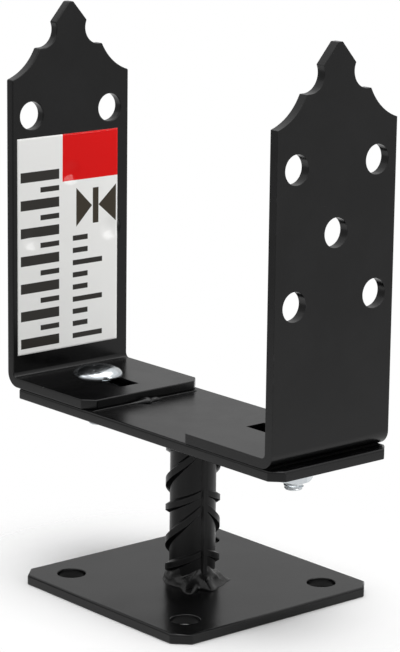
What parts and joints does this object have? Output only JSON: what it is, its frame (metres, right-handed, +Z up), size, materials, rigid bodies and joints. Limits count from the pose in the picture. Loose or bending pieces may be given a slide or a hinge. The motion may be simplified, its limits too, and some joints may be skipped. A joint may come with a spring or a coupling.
{
  "type": "adjustable timber post base",
  "caption": "Black post base: two bent side brackets with spear-shaped tops, bolted to a slotted plate on a ribbed bar welded to a square base plate.",
  "frame": {"origin": "centre of the base plate's underside, between its four anchor holes", "axes": "+Z up, +X along the carrier plate from the labelled bracket to the other one, +Y to the back"},
  "size_m": [0.1664, 0.102, 0.2288],
  "materials": {
    "powder_coated_steel": "satin",
    "painted_weld": "satin",
    "zinc_plated_steel": "bright",
    "label_paper": "satin"
  },
  "bodies": {
    "stand": {"base_plate": "powder_coated_steel", "ribbed_stem": "powder_coated_steel", "lower_weld": "painted_weld", "upper_weld": "painted_weld", "carrier_plate": "powder_coated_steel"},
    "left_fastening": {"left_bolt": "zinc_plated_steel", "left_washer": "zinc_plated_steel", "left_nut": "zinc_plated_steel"},
    "left_side": {"left_bracket": "powder_coated_steel", "label": "label_paper"},
    "right_fastening": {"right_bolt": "zinc_plated_steel", "right_washer": "zinc_plated_steel", "right_nut": "zinc_plated_steel"},
    "right_side": {"right_bracket": "powder_coated_steel"}
  },
  "joints": [
    {"name": "left_bolt_slide", "type": "slide", "parent": "stand", "child": "left_fastening", "axis": [-1, 0, 0], "range_m": [-0.0192, 0.0028]},
    {"name": "left_bracket_slide", "type": "slide", "parent": "left_fastening", "child": "left_side", "axis": [-1, 0, 0], "range_m": [-0.0018, 0.0166]},
    {"name": "right_bolt_slide", "type": "slide", "parent": "stand", "child": "right_fastening", "axis": [1, 0, 0], "range_m": [-0.0149, 0.0071]},
    {"name": "right_bracket_slide", "type": "slide", "parent": "right_fastening", "child": "right_side", "axis": [1, 0, 0], "range_m": [0, 0.0185]}
  ]
}
